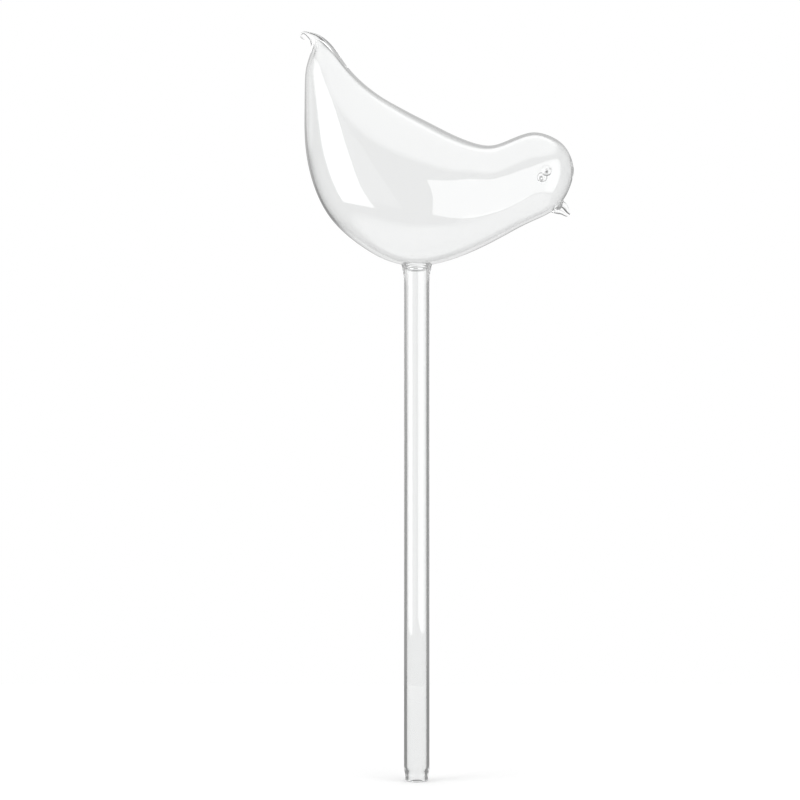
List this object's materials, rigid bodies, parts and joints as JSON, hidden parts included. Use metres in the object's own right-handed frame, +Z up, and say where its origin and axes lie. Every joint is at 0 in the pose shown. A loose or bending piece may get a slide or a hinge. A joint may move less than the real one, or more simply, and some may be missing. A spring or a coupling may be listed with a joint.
{
  "type": "watering globe",
  "caption": "Self-watering glass globe: a hollow blown bird holds water and a slim open stem pushed into the soil lets it seep out.",
  "frame": {"origin": "on the stem's axis at the lip of its open mouth", "axes": "+Z up along the stem towards the bird, +X towards the side of the bird's head, +Y across the bird, which is symmetric about Y = 0"},
  "size_m": [0.097, 0.0472, 0.2656],
  "materials": {
    "tube_glass": "clear drawn tube, fire polished at the mouth",
    "blown_glass": "clear blown glass, glossy, with slight waves in its thin wall",
    "laid_glass": "clear solid glass laid on hot, glossy and rounded"
  },
  "bodies": {
    "root": {"stem_tube": "tube_glass", "neck_weld_bead": "laid_glass", "bird_bulb": "blown_glass", "tail_tip": "laid_glass", "beak_root": "laid_glass", "beak_upper": "laid_glass", "beak_lower": "laid_glass", "eye_bead_left": "laid_glass", "eye_bead_right": "laid_glass"}
  },
  "joints": []
}
